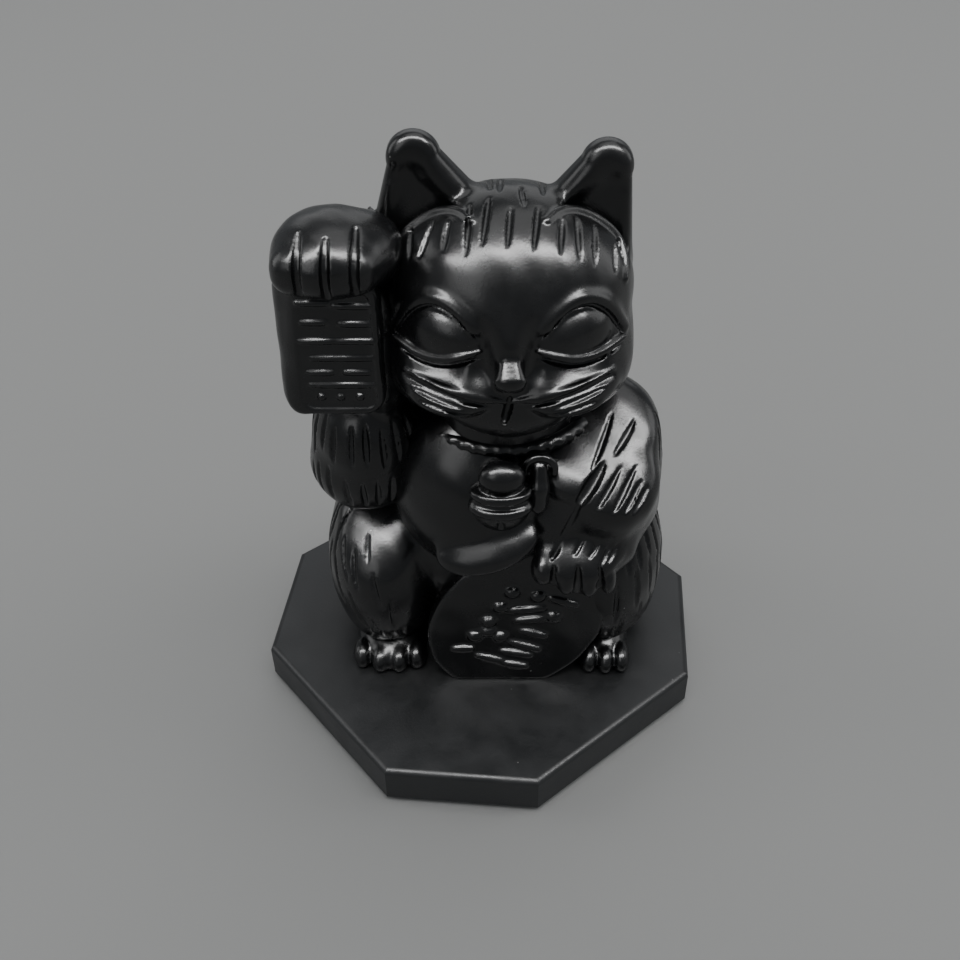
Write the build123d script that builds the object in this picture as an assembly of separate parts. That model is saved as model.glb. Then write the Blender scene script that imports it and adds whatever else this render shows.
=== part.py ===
from build123d import *
import os

# Beckoning cat figurine on an octagonal plinth, in millimetres.
# Origin: on the table, under the middle of the plinth. +Z is up and the cat looks along -Y.
# "Right" and "left" are the cat's own: its right paw is raised, at -X.
# Every place and size of the cat is given about its own midline, x = 0.

# ---- plinth -------------------------------------------------------------------------------
PLINTH_WIDTH = 60.0                  # across the flats, both ways
PLINTH_FLAT = 20.0                   # length of the four flats that aren't corner cuts
PLINTH_TURN = -4.5                   # degrees that the plinth is turned against the cat
PLINTH_TOP = 6.1
TOP_EDGE_RADIUS = 0.8
FOOT_CHAMFER = 0.4
FELT_PROUD = 0.3                     # how far the felt stands below the plinth
FELT_THICKNESS = 1.0
FELT_WIDTH = 50.0
FELT_GAP = 0.15                      # round the felt, inside its recess
FIGURE_X = 3.2                       # the cat is glued on a little off the plinth's middle

# ---- torso and haunches -------------------------------------------------------------------
TORSO_SECTIONS = [                   # height, half width, half depth, Y of the middle
    (PLINTH_TOP, 16.0, 12.0, 6.0),
    (14.0, 18.0, 13.5, 5.5),
    (24.0, 18.0, 13.2, 4.8),
    (34.0, 16.0, 12.4, 3.0),
    (42.0, 13.5, 11.0, 1.5),
    (47.5, 9.0, 8.0, 0.5),
    (49.5, 7.0, 6.5, 0.0),
]
RIGHT_HAUNCH = ((-16.4, 0.5, 18.5), (8.5, 13.0, 14.0))
LEFT_HAUNCH = ((14.0, 1.0, 18.5), (8.3, 13.0, 14.0))
HIND_FOOT_Y = -7.0
HIND_FOOT_Z = 7.2
HIND_FOOT_HALF = (7.0, 3.9)          # half length and half height
RIGHT_FOOT = (-15.8, 11.4)           # X and width
LEFT_FOOT = (13.4, 8.0)

# ---- head ---------------------------------------------------------------------------------
HEAD_CENTRE = (0.5, -2.0, 59.6)
HEAD_RADII = (14.4, 13.4, 14.2)
EAR_FOOT = (8.4, 1.0, 8.0)           # from the head's centre
RIGHT_EAR_TIP = (-9.8, 2.0, 20.4)    # from the head's centre
LEFT_EAR_TIP = (10.0, 2.0, 19.6)
EAR_WIDTH = 11.5
EAR_DEPTH = 7.0
EAR_TAPER = [(0.0, 1.0), (0.35, 0.86), (0.68, 0.58), (0.90, 0.30), (1.0, 0.10)]
MUZZLE = ((0.5, -13.0, 54.1), (6.5, 4.0, 4.2))
NOSE = ((0.5, -16.0, 56.2), (1.3, 1.6, 2.0))

# ---- what it wears ------------------------------------------------------------------------
BIB = ((-2.9, -3.2, 34.6), (12.1, 11.6, 12.6))
COLLAR_CENTRE = (0.2, -0.6, 45.2)
COLLAR_RADIUS = 10.8
COLLAR_CORD_RADIUS = 1.7
BELL_CENTRE = (-0.4, -13.8, 40.2)
BELL_RADIUS = 3.5
BELL_BAND = (3.8, 1.6)               # radius and height of the band round the bell
BELL_SLOT = (0.9, 4.0, 3.0)
RIBBON = [(4.5, -12.0, 44.4, 0.7), (4.4, -13.0, 43.6, 1.1), (4.3, -13.9, 41.2, 1.1), (4.2, -14.2, 38.4, 1.0)]

# ---- arms and what they hold --------------------------------------------------------------
RIGHT_SLEEVE = ((-17.2, -2.0, 41.8), (7.4, 8.8, 10.0))
FOREARM = [(-18.2, -1.5, 44.0, 4.8), (-18.2, -2.6, 53.0, 5.2), (-18.0, -3.2, 62.0, 5.2), (-17.4, -4.0, 69.0, 4.2)]
RAISED_PAW_CENTRE = (-17.6, -8.6, 69.8)
RAISED_PAW_SIZE = (13.0, 10.4, 7.2)
RAISED_PAW_EDGE = 3.3
RAISED_PAW_NOD = 8.0                 # degrees that the paw bows forward
TABLET_CENTRE = (-19.6, -10.2, 59.6)
TABLET_SIZE = (12.0, 4.4, 17.6)
TABLET_CORNER = 2.8
TABLET_EDGE = 0.9
LEFT_ARM = [
    (12.5, 0.0, 45.6, 3.2),
    (13.2, -1.0, 42.4, 5.4),
    (13.8, -3.0, 38.0, 6.3),
    (13.6, -6.2, 32.8, 5.9),
    (12.0, -10.2, 30.0, 4.9),
    (9.8, -13.2, 28.4, 3.8),
    (8.9, -15.0, 27.6, 2.4),
]
LOWERED_PAW = ((9.1, -13.2, 28.0), (5.0, 4.4, 3.4))
KOBAN_HALF = (10.5, 13.3)            # the coin's half width and half length
KOBAN_THICKNESS = 3.0
KOBAN_EDGE = 0.8
KOBAN_CENTRE = (1.6, -9.2, 15.3)
KOBAN_LEAN = 82.0                    # degrees that the coin stands up from flat
KOBAN_TILT = -48.0                   # degrees that its long axis is turned in its own plane

# ---- tail, and the dowels inside ----------------------------------------------------------
TAIL = [
    (2.0, 17.0, 8.4, 2.2),
    (7.0, 18.8, 9.6, 2.8),
    (11.0, 18.0, 12.2, 2.8),
    (12.0, 16.6, 16.0, 2.6),
    (10.0, 16.2, 19.0, 1.6),
]
DOWEL_RADIUS = 1.5
NECK_DOWEL_RADIUS = 2.5
DOWEL_CLEARANCE = 0.05
PLINTH_DOWEL_X = 9.0
PLINTH_DOWEL_Y = 5.0
PLINTH_DOWEL_Z = (2.4, 16.0)
NECK_DOWEL = ((0.0, 0.0, 38.0), (0.0, 0.0, 54.0))
RIGHT_ARM_DOWEL = ((-8.0, 1.0, 41.0), (-18.0, 0.0, 41.0))
LEFT_ARM_DOWEL = ((6.0, 1.0, 38.0), (15.0, -1.0, 38.0))
LARGE = 200.0                        # longer than anything here, for cutting


# ---- shape helpers ------------------------------------------------------------------------
def ellipsoid(centre, radii):
    return Pos(*centre) * scale(Sphere(1), by=radii)


def limb(stations):
    """A smooth limb through circles, each given as x, y, z and radius, square to their line."""
    points = [Vector(x, y, z) for x, y, z, _ in stations]
    circles = []
    for i, (point, station) in enumerate(zip(points, stations)):
        ahead = points[min(i + 1, len(points) - 1)]
        behind = points[max(i - 1, 0)]
        circles.append(Plane(point, z_dir=ahead - behind) * Circle(station[3]))
    return loft(circles)


def octagon(width):
    """A square with its corners cut off, in the plinth's proportions."""
    half = width / 2
    short = half * PLINTH_FLAT / PLINTH_WIDTH
    corners = [
        (half, short), (short, half), (-short, half), (-half, short),
        (-half, -short), (-short, -half), (short, -half), (half, -short),
    ]
    return Polygon(*corners, align=None)


def dowel(start, end, radius):
    """A round pin from start to end."""
    run = Vector(*end) - Vector(*start)
    upright = Cylinder(radius, run.length, align=(Align.CENTER, Align.CENTER, Align.MIN))
    return Plane(start, z_dir=run) * upright


def without(piece, *neighbours):
    """The piece less the neighbours that it is bedded against."""
    for neighbour in neighbours:
        piece = piece - neighbour
    return piece


def above_plinth(shape):
    """The part of a piece that is above the plinth's top face."""
    return shape - Pos(0, 0, PLINTH_TOP - LARGE / 2) * Box(LARGE, LARGE, LARGE)


def plinth_pins(radius):
    bottom, top = PLINTH_DOWEL_Z
    sides = (-PLINTH_DOWEL_X, PLINTH_DOWEL_X)
    return [dowel((x, PLINTH_DOWEL_Y, bottom), (x, PLINTH_DOWEL_Y, top), radius) for x in sides]


# ---- plinth -------------------------------------------------------------------------------
def make_felt_pad():
    return extrude(octagon(FELT_WIDTH), FELT_THICKNESS)


def make_plinth():
    slab = Pos(0, 0, FELT_PROUD) * extrude(octagon(PLINTH_WIDTH), PLINTH_TOP - FELT_PROUD)
    slab = fillet(slab.faces().sort_by(Axis.Z)[-1].edges(), TOP_EDGE_RADIUS)
    slab = chamfer(slab.faces().sort_by(Axis.Z)[0].edges(), FOOT_CHAMFER)
    return slab - extrude(octagon(FELT_WIDTH + 2 * FELT_GAP), FELT_THICKNESS)


# ---- the cat ------------------------------------------------------------------------------
def make_body():
    torso = loft([Pos(0, y, z) * Ellipse(rx, ry) for z, rx, ry, y in TORSO_SECTIONS])
    return above_plinth(torso + ellipsoid(*RIGHT_HAUNCH) + ellipsoid(*LEFT_HAUNCH))


def make_hind_foot(x, width):
    half_length, half_height = HIND_FOOT_HALF
    foot = ellipsoid((x, HIND_FOOT_Y, HIND_FOOT_Z), (width / 2, half_length, half_height))
    return above_plinth(foot)


def make_ear(side, tip):
    """A tall ear, from an oval foot sunk in the skull to a rounded tip."""
    low = Vector(*HEAD_CENTRE) + Vector(side * EAR_FOOT[0], EAR_FOOT[1], EAR_FOOT[2])
    rise = Vector(*HEAD_CENTRE) + Vector(*tip) - low
    ovals = []
    for along, size in EAR_TAPER:
        oval = Ellipse(EAR_WIDTH / 2 * size, EAR_DEPTH / 2 * size)
        ovals.append(Pos(*(low + rise * along)) * oval)
    return loft(ovals)


def make_head():
    skull = ellipsoid(HEAD_CENTRE, HEAD_RADII)
    ears = make_ear(-1, RIGHT_EAR_TIP) + make_ear(1, LEFT_EAR_TIP)
    return skull + ears + ellipsoid(*MUZZLE) + ellipsoid(*NOSE)


def make_bib():
    return ellipsoid(*BIB)


def make_collar():
    return Pos(*COLLAR_CENTRE) * Torus(COLLAR_RADIUS, COLLAR_CORD_RADIUS)


def make_bell():
    band_radius, band_height = BELL_BAND
    bell = Sphere(BELL_RADIUS) + Cylinder(band_radius, band_height)
    slot = Pos(0, -BELL_RADIUS, -BELL_RADIUS) * Box(*BELL_SLOT)
    return Pos(*BELL_CENTRE) * (bell - slot)


def make_raised_arm():
    block = Box(*RAISED_PAW_SIZE)
    paw = fillet(block.edges(), RAISED_PAW_EDGE)
    paw = Pos(*RAISED_PAW_CENTRE) * Rotation(RAISED_PAW_NOD, 0, 0) * paw
    return ellipsoid(*RIGHT_SLEEVE) + limb(FOREARM) + paw


def make_tablet():
    slab = fillet(Box(*TABLET_SIZE).edges().filter_by(Axis.Y), TABLET_CORNER)
    return Pos(*TABLET_CENTRE) * fillet(slab.faces().sort_by(Axis.Y)[0].edges(), TABLET_EDGE)


def make_lowered_arm():
    return limb(LEFT_ARM) + ellipsoid(*LOWERED_PAW)


def make_koban():
    """A thick oval coin that leans on the belly. Its top is turned towards the cat's left."""
    coin = extrude(Ellipse(*KOBAN_HALF), KOBAN_THICKNESS)
    coin = fillet(coin.edges(), KOBAN_EDGE)
    return Pos(*KOBAN_CENTRE) * Rotation(KOBAN_LEAN, 0, 0) * Rotation(0, 0, KOBAN_TILT) * coin


def make_figure():
    """Every piece of the cat, each one cut back where it is bedded against those before it."""
    body = make_body()
    head = without(make_head(), body)
    bib = without(make_bib(), body, head)
    collar = without(make_collar(), body, head, bib)
    lowered_arm = without(make_lowered_arm(), body, head, bib, collar)
    koban = above_plinth(without(make_koban(), body, bib, lowered_arm))
    bell = without(make_bell(), body, head, bib, collar)
    ribbon = without(limb(RIBBON), body, head, bib, collar, bell, lowered_arm)
    raised_arm = without(make_raised_arm(), body, head, bib, collar)
    return {
        "body": body,
        "head": head,
        "bib": bib,
        "collar": collar,
        "lowered_arm": lowered_arm,
        "koban": koban,
        "bell": bell,
        "bell_ribbon": ribbon,
        "raised_arm": raised_arm,
        "tablet": without(make_tablet(), raised_arm, head),
        "right_hind_foot": without(make_hind_foot(*RIGHT_FOOT), body, koban),
        "left_hind_foot": without(make_hind_foot(*LEFT_FOOT), body, koban),
        "tail": above_plinth(without(limb(TAIL), body)),
    }


def add_dowels(figure):
    """Drills the cat's pieces for the dowels, and adds the dowels as pieces of their own."""
    hole_radius = DOWEL_RADIUS + DOWEL_CLEARANCE
    neck_hole = dowel(*NECK_DOWEL, NECK_DOWEL_RADIUS + DOWEL_CLEARANCE)
    right_hole = dowel(*RIGHT_ARM_DOWEL, hole_radius)
    left_hole = dowel(*LEFT_ARM_DOWEL, hole_radius)
    holes = [*plinth_pins(hole_radius), neck_hole, right_hole, left_hole]
    figure["body"] = without(figure["body"], *holes)
    figure["head"] = without(figure["head"], neck_hole)
    figure["raised_arm"] = without(figure["raised_arm"], right_hole)
    figure["lowered_arm"] = without(figure["lowered_arm"], left_hole)
    figure["neck_dowel"] = dowel(*NECK_DOWEL, NECK_DOWEL_RADIUS)
    figure["plinth_dowels"] = Part() + plinth_pins(DOWEL_RADIUS)
    arm_dowels = [dowel(*RIGHT_ARM_DOWEL, DOWEL_RADIUS), dowel(*LEFT_ARM_DOWEL, DOWEL_RADIUS)]
    figure["arm_dowels"] = Part() + arm_dowels


def main():
    os.makedirs("parts", exist_ok=True)
    figure = make_figure()
    add_dowels(figure)
    place = Pos(FIGURE_X, 0, 0)
    pieces = {name: place * piece for name, piece in figure.items()}
    turn = Rotation(0, 0, PLINTH_TURN)
    pinholes = [place * pin for pin in plinth_pins(DOWEL_RADIUS + DOWEL_CLEARANCE)]
    pieces["plinth"] = without(turn * make_plinth(), *pinholes)
    pieces["felt_pad"] = turn * make_felt_pad()
    for name, piece in pieces.items():
        export_step(piece, f"parts/{name}.step")


main()
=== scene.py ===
import math
import bpy
import numpy as np
import openvdb
from mathutils import Matrix, Vector


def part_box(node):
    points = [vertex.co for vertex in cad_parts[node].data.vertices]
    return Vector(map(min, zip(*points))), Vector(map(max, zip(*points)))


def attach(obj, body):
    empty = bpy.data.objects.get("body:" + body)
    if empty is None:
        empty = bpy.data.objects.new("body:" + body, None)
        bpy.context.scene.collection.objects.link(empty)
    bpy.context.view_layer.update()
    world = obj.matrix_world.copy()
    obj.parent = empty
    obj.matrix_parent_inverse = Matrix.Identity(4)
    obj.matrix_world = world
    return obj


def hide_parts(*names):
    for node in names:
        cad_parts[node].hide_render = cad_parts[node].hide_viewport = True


# The looks of a seated beckoning cat on an octagonal plinth.
# Shapes are worked out in millimetres in the cat's own frame and made into meshes in metres.
# Each carved piece is a distance field, built from egg and cone shapes that are blended
# together, then worked with gouges and ridges, and meshed where the field is zero.

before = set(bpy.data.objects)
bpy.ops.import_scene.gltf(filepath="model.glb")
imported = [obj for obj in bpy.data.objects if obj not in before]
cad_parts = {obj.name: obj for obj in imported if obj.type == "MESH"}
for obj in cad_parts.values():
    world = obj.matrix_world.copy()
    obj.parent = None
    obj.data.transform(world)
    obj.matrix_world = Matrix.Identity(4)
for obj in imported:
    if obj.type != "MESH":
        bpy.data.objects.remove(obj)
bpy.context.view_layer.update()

MM = 0.001
VOXEL = 0.25         # mm, the usual mesh step
BODY_VOXEL = VOXEL * 1.2                     # mm, for the largest piece
BLOCK = 4                                    # voxels in one coarse step
SHARP = 0.10                                 # mm, blend at the lip of a gouge
rng = np.random.default_rng(7)


# ---- places, from the CAD -----------------------------------------------------------------
def anchor(node, fractions, offset=(0, 0, 0)):
    """A point of a CAD node's box, given by fractions of its sides, plus an offset, in mm."""
    low, high = (np.array(corner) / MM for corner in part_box(node))
    return low + (high - low) * np.array(fractions) + np.array(offset)


# The cat's own frame: x from its midline, y and z as in the row's frame.
MIDLINE = anchor("plinth_dowels", (0.5, 0.5, 0.5))[0]
CAT = np.array((MIDLINE, 0.0, 0.0))
PLINTH_TOP = anchor("plinth", (0.5, 0.5, 1))[2]
HEAD = anchor("head", (0.5, 1, 1), (0, -13.4, -20.4)) - CAT          # the skull's centre
BELL = anchor("bell", (0.5, 0, 0), (0, 3.8, 3.5)) - CAT              # near its middle
COLLAR = anchor("collar", (0.5, 0.5, 0.5)) - CAT                     # its middle
BIB = anchor("bib", (0, 0, 1), (12.1, 11.6, -12.6)) - CAT            # the middle of its round outline
TABLET = anchor("tablet", (0.5, 0.5, 0), (0, 0, 8.8)) - CAT          # its middle
COIN_FOOT = anchor("koban", (0.5, 0, 0)) - CAT                       # where its front meets the plinth


# ---- where the figure is seen from --------------------------------------------------------
CAMERA_AZIMUTH = 1.6                         # degrees, as are the next two
CAMERA_ELEVATION = 39.3
CAMERA_ROLL = -1.0
CAMERA_DISTANCE = 168.7                      # mm from the row's origin, before the slide
CAMERA_SLIDE = (-0.5, 24.1)                  # mm, to the camera's own right and up
LENS = 41.25                                 # mm, the focal length


def camera_axes():
    """The camera's right, up and back, and its place in mm in the row's frame."""
    a, e, r = (math.radians(v) for v in (CAMERA_AZIMUTH, CAMERA_ELEVATION, CAMERA_ROLL))
    back = Vector((math.sin(a) * math.cos(e), -math.cos(a) * math.cos(e), math.sin(e)))
    level = (-back).cross(Vector((0, 0, 1))).normalized()
    rise = level.cross(-back)
    right = level * math.cos(r) + rise * math.sin(r)
    up = rise * math.cos(r) - level * math.sin(r)
    return right, up, back, back * CAMERA_DISTANCE + right * CAMERA_SLIDE[0] + up * CAMERA_SLIDE[1]


VIEWPOINT = np.array(camera_axes()[3]) - CAT


# ---- fields: each takes points (N, 3) and returns a distance, negative inside -------------
def length(v):
    """The length of each row's vector."""
    return np.sqrt(np.einsum("ij,ij->i", v, v))


def spin(x=0, y=0, z=0):
    """A rotation matrix from Euler angles in degrees."""
    turns = [Matrix.Rotation(math.radians(a), 3, axis) for a, axis in ((z, "Z"), (y, "Y"), (x, "X"))]
    return np.array(turns[0] @ turns[1] @ turns[2], np.float32)


def egg(p, centre, radii, turn=None):
    """An ellipsoid, turned about its centre."""
    q = p - np.asarray(centre, np.float32)
    if turn is not None:
        q = q @ turn
    r = np.asarray(radii, np.float32)
    near = length(q / r)
    return near * (near - 1) / np.maximum(length(q / (r * r)), 1e-6)


def cone(p, a, b, radius_a, radius_b):
    """A round-ended cone from a to b."""
    a, b = np.asarray(a, np.float32), np.asarray(b, np.float32)
    run = b - a
    t = np.clip((p - a) @ run / max(float(run @ run), 1e-9), 0, 1)
    return length(p - a - t[:, None] * run) - (radius_a + (radius_b - radius_a) * t)


def block(p, centre, half, rounding):
    """A box with rounded edges. half includes the rounding."""
    q = np.abs(p - np.asarray(centre, np.float32)) - (np.asarray(half, np.float32) - rounding)
    return length(np.maximum(q, 0)) + np.minimum(q.max(1), 0) - rounding


def slab(outline, depth, rounding):
    """A flat piece from its outline's field and its depth's field, with rounded edges."""
    a, b = outline + rounding, depth + rounding
    return np.hypot(np.maximum(a, 0), np.maximum(b, 0)) + np.minimum(np.maximum(a, b), 0) - rounding


def join(a, b, k):
    """Two fields together, blended over the distance k where they meet."""
    h = np.clip(0.5 + 0.5 * (b - a) / k, 0, 1)
    return b + (a - b) * h - k * h * (1 - h)


def cut(a, b, k):
    """The first field with the second taken out of it."""
    return -join(-a, b, k)


def planed(p, field, point, normal, k):
    """A field with what lies in front of a plane cut off. The normal points away from what stays."""
    in_front = (p - np.float32(point)) @ np.float32(normal)
    return cut(field, -in_front, k)


def chain(p, stations, k):
    """A limb through stations of x, y, z, radius."""
    field = None
    for (*a, radius_a), (*b, radius_b) in zip(stations, stations[1:]):
        part = cone(p, a, b, radius_a, radius_b)
        field = part if field is None else join(field, part, k)
    return field


def handwork(p, size):
    """The slight unevenness of a surface that was worked by hand."""
    x, y, z = p.T
    return size * (np.sin(1.1 * x + 0.6 * z + 1.3 * np.sin(0.5 * y))
                   + 0.7 * np.sin(1.4 * z - 0.8 * y + 0.5)
                   + 0.5 * np.sin(1.9 * y + 1.6 * x + 1.9))


# ---- strokes ------------------------------------------------------------------------------
LAND_STEPS = 60                              # along a ray, each 2 mm at most
SEEN_FROM = 16.0                             # mm in front of a place, where its ray starts
PATH_STEPS = 4                               # points for each span of a smoothed path


def land(shape, start, toward):
    """Where rays from the start points, aimed at the toward points, meet the shape or pass nearest."""
    p = np.atleast_2d(np.asarray(start, np.float32))
    goal = np.broadcast_to(np.asarray(toward, np.float32), p.shape)
    ray = goal - p
    ray = ray / length(ray)[:, None]
    nearest, gap = p, np.full(len(p), np.inf, np.float32)
    for _ in range(LAND_STEPS):
        here = shape(p)
        closer = np.abs(here) < gap
        nearest = np.where(closer[:, None], p, nearest)
        gap = np.where(closer, np.abs(here), gap)
        p = p + ray * np.clip(here * 0.8, -2, 2)[:, None]
    return nearest


def seen(shape, points):
    """Points near the front of a shape, slid along the line of sight onto its surface."""
    points = np.asarray(points, np.float32)
    toward = VIEWPOINT.astype(np.float32) - points
    start = points + toward / length(toward)[:, None] * SEEN_FROM
    return land(shape, start, points)


def smooth_path(path):
    """More points along a given path, rounded by a quadratic B-spline with fixed ends."""
    path = np.asarray(path, np.float32)
    ends = np.vstack([2 * path[0] - path[1], path, 2 * path[-1] - path[-2]])
    out = []
    for a, b, c in zip(ends, ends[1:], ends[2:]):
        for t in np.arange(PATH_STEPS) / PATH_STEPS:
            out.append(0.5 * ((1 - t) ** 2 * a + (1 + 2 * t - 2 * t * t) * b + t * t * c))
    out.append(ends[-2])
    return np.array(out[PATH_STEPS // 2:])


def stroke_field(p, path, radius, taper):
    """Distance to a stroke along the path. It thins towards both ends by the share taper."""
    along = np.linspace(0, 1, len(path))
    radii = radius * (1 - taper + taper * np.sin(np.pi * along) ** 0.7)
    field = np.full(len(p), 1e3, np.float32)
    for a, b, radius_a, radius_b in zip(path, path[1:], radii, radii[1:]):
        field = np.minimum(field, cone(p, a, b, radius_a, radius_b))
    return field


def work(p, field, path, radius, mode, k, taper):
    """Cuts a gouge, or raises a ridge, along a path, changing field in place."""
    path = smooth_path(path)
    reach = radius + k + 1.2                 # beyond this a stroke doesn't change the surface
    low, high = path.min(0) - reach, path.max(0) + reach
    near = np.nonzero(np.all((p > low) & (p < high), axis=1))[0]
    if not len(near):
        return
    tool = stroke_field(p[near], path, radius, taper)
    blend = cut if mode == "gouge" else join
    field[near] = blend(field[near], tool, k)


# ---- from a field to a piece --------------------------------------------------------------
def grid_points(low, counts, step):
    """Every point of a regular grid that starts at low."""
    axes = [low[i] + step * np.arange(counts[i]) for i in range(3)]
    return np.stack(np.meshgrid(*axes, indexing="ij"), -1).reshape(-1, 3).astype(np.float32)


def mesh_field(shape, low, high, voxel):
    """Points and quads of the shape's surface inside a box, in mm. Only blocks near it are fine."""
    coarse_step = voxel * BLOCK
    counts = np.ceil((high - low) / coarse_step).astype(int) + 1
    middles = grid_points(low + voxel * (BLOCK - 1) / 2, counts, coarse_step)
    coarse = shape(middles).reshape(counts)
    reach = coarse_step * 1.5 + 0.3          # a block whose middle is further off holds no surface
    values, active = coarse, np.abs(coarse) < reach
    for axis in range(3):
        values, active = values.repeat(BLOCK, axis), active.repeat(BLOCK, axis)
    values[active] = shape((low + np.argwhere(active) * voxel).astype(np.float32))
    grid = openvdb.FloatGrid()
    grid.copyFromArray(np.ascontiguousarray(values, np.float32))
    points, quads = grid.convertToQuads(0.0)
    points = (low + points * voxel).astype(np.float32)
    for _ in range(2):
        points = pull(shape, points, voxel)
    return points, quads


def pull(shape, points, voxel):
    """Moves points along the field's slope onto its zero surface, by no more than half a voxel."""
    nudge = np.float32(0.03)
    here = shape(points)
    slope = np.empty_like(points)
    for axis in range(3):
        moved = points.copy()
        moved[:, axis] += nudge
        slope[:, axis] = (shape(moved) - here) / nudge
    step = -here[:, None] * slope / np.maximum((slope ** 2).sum(1), 0.05)[:, None]
    size = np.maximum(length(step), 1e-9)[:, None]
    return points + step * np.minimum(1, 0.5 * voxel / size)


def outer_shell(points, quads):
    """The largest connected surface, without bubbles that a covered stroke leaves in the solid."""
    edges = np.vstack([quads[:, [i, (i + 1) % 4]] for i in range(4)])
    label, before = np.arange(len(points)), None
    while not np.array_equal(label, before):
        before = label.copy()
        lowest = before[edges].min(1)
        np.minimum.at(label, edges[:, 0], lowest)
        np.minimum.at(label, edges[:, 1], lowest)
        label = label[label]
    kept = label == np.bincount(label).argmax()
    quads = quads[kept[quads[:, 0]]]
    return points[kept], (np.cumsum(kept) - 1)[quads]


def carved(base, strokes):
    """The base field with every stroke worked into it."""
    def shape(p):
        field = base(p)
        for mode, path, radius, k, taper in strokes:
            work(p, field, path, radius, mode, k, taper)
        return field
    return shape


def make_piece(node, shape, margin=1.2, voxel=VOXEL):
    """Meshes a shape in its CAD node's box and a margin, as the piece that stands for that node."""
    low = anchor(node, (0, 0, 0)) - CAT - margin
    high = anchor(node, (1, 1, 1)) - CAT + margin
    points, quads = outer_shell(*mesh_field(shape, low, high, voxel))
    name = node + "_carved"
    mesh = bpy.data.meshes.new(name)
    mesh.vertices.add(len(points))
    mesh.vertices.foreach_set("co", ((points + CAT) * MM).astype(np.float32).ravel())
    mesh.loops.add(quads.size)
    mesh.loops.foreach_set("vertex_index", quads[:, ::-1].astype(np.int32).ravel())
    mesh.polygons.add(len(quads))
    mesh.polygons.foreach_set("loop_start", np.arange(0, quads.size, 4, dtype=np.int32))
    mesh.polygons.foreach_set("loop_total", np.full(len(quads), 4, np.int32))
    mesh.update(calc_edges=True)
    mesh.validate()
    mesh.shade_smooth()
    piece = bpy.data.objects.new(name, mesh)
    bpy.context.scene.collection.objects.link(piece)
    mesh.materials.append(FIGURE)
    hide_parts(node)
    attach(piece, "root")


def on_plinth(p, field):
    """The part of a field that is above the plinth's top face."""
    return np.maximum(field, np.float32(PLINTH_TOP) - p[:, 2])


# ---- materials ----------------------------------------------------------------------------
# Texture scales are per metre, and bump distances are in metres, as the meshes are.
WORN = 3.2                                   # how many times paler than its light colour a worn edge is
DUST = (0.42, 0.42, 0.40)


def rgb(red, green, blue):
    return (red, green, blue, 1)


def plain(value):
    """The same value in every channel."""
    return rgb(value, value, value)


def wire(tree, kind, **values):
    """A new node with its inputs and settings given by name."""
    node = tree.nodes.new(kind)
    for key, value in values.items():
        if key in node.inputs:
            node.inputs[key].default_value = value
        else:
            setattr(node, key, value)
    return node


def start_material(name):
    """A new material, its node tree, its shader and the output that gives places on the object."""
    material = bpy.data.materials.new(name)
    material.use_nodes = True
    tree = material.node_tree
    place = tree.nodes.new("ShaderNodeTexCoord").outputs["Object"]
    return material, tree, tree.nodes["Principled BSDF"], place


def texture(tree, place, kind="ShaderNodeTexNoise", output="Fac", **values):
    """The output of a procedural texture that is laid out by place."""
    node = wire(tree, kind, **values)
    tree.links.new(place, node.inputs["Vector"])
    return node.outputs[output]


def ramp(tree, source, low, high):
    """A source's value made into colour, between two stops of position and colour."""
    node = tree.nodes.new("ShaderNodeValToRGB")
    for element, (position, colour) in zip(node.color_ramp.elements, (low, high)):
        element.position, element.color = position, colour
    tree.links.new(source, node.inputs["Fac"])
    return node.outputs["Color"]


def coat(tree, factor, under, over):
    """One colour laid over another by a factor."""
    node = tree.nodes.new("ShaderNodeMix")
    node.data_type = "RGBA"
    tree.links.new(factor, node.inputs["Factor"])
    tree.links.new(under, node.inputs["A"])
    node.inputs["B"].default_value = over
    return node.outputs["Result"]


def set_surface(tree, shader, colour, roughness, height, strength, distance):
    """Gives a shader its colour and roughness, and a bump from a height."""
    tree.links.new(colour, shader.inputs["Base Color"])
    tree.links.new(roughness, shader.inputs["Roughness"])
    bump = wire(tree, "ShaderNodeBump", Strength=strength, Distance=distance)
    tree.links.new(height, bump.inputs["Height"])
    tree.links.new(bump.outputs["Normal"], shader.inputs["Normal"])


def satin_black(name, dark, light, roughness, grain):
    """Satin black: uneven colour, fine grain, paler worn edges and a little pale dust."""
    material, tree, shader, place = start_material(name)
    shader.inputs["IOR"].default_value = 1.5
    cloud = texture(tree, place, Scale=180.0, Detail=5.0, Roughness=0.6)
    fine = texture(tree, place, Scale=3200.0, Detail=3.0, Roughness=0.6)
    base = ramp(tree, cloud, (0.3, rgb(*dark)), (0.72, rgb(*light)))
    # Worn edges: the surface is paler where it is convex.
    convex = tree.nodes.new("ShaderNodeNewGeometry").outputs["Pointiness"]
    wear = wire(tree, "ShaderNodeMapRange", **{"From Min": 0.515, "From Max": 0.60, "To Max": 0.55})
    tree.links.new(convex, wear.inputs["Value"])
    worn = coat(tree, wear.outputs["Result"], base, rgb(*(WORN * channel for channel in light)))
    # Dust: small pale specks, few and uneven.
    specks = texture(tree, place, "ShaderNodeTexVoronoi", "Distance", Scale=420.0)
    patches = texture(tree, place, Scale=95.0, Detail=2.0)
    dust = wire(tree, "ShaderNodeMath", operation="MULTIPLY")
    tree.links.new(ramp(tree, specks, (0.035, plain(0.6)), (0.06, plain(0))), dust.inputs[0])
    tree.links.new(ramp(tree, patches, (0.58, plain(0)), (0.66, plain(1))), dust.inputs[1])
    dusty = coat(tree, dust.outputs[0], worn, rgb(*DUST))
    rough = ramp(tree, cloud, (0.25, plain(roughness - 0.07)), (0.75, plain(roughness + 0.09)))
    set_surface(tree, shader, dusty, rough, fine, grain, 0.00004)
    return material


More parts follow.
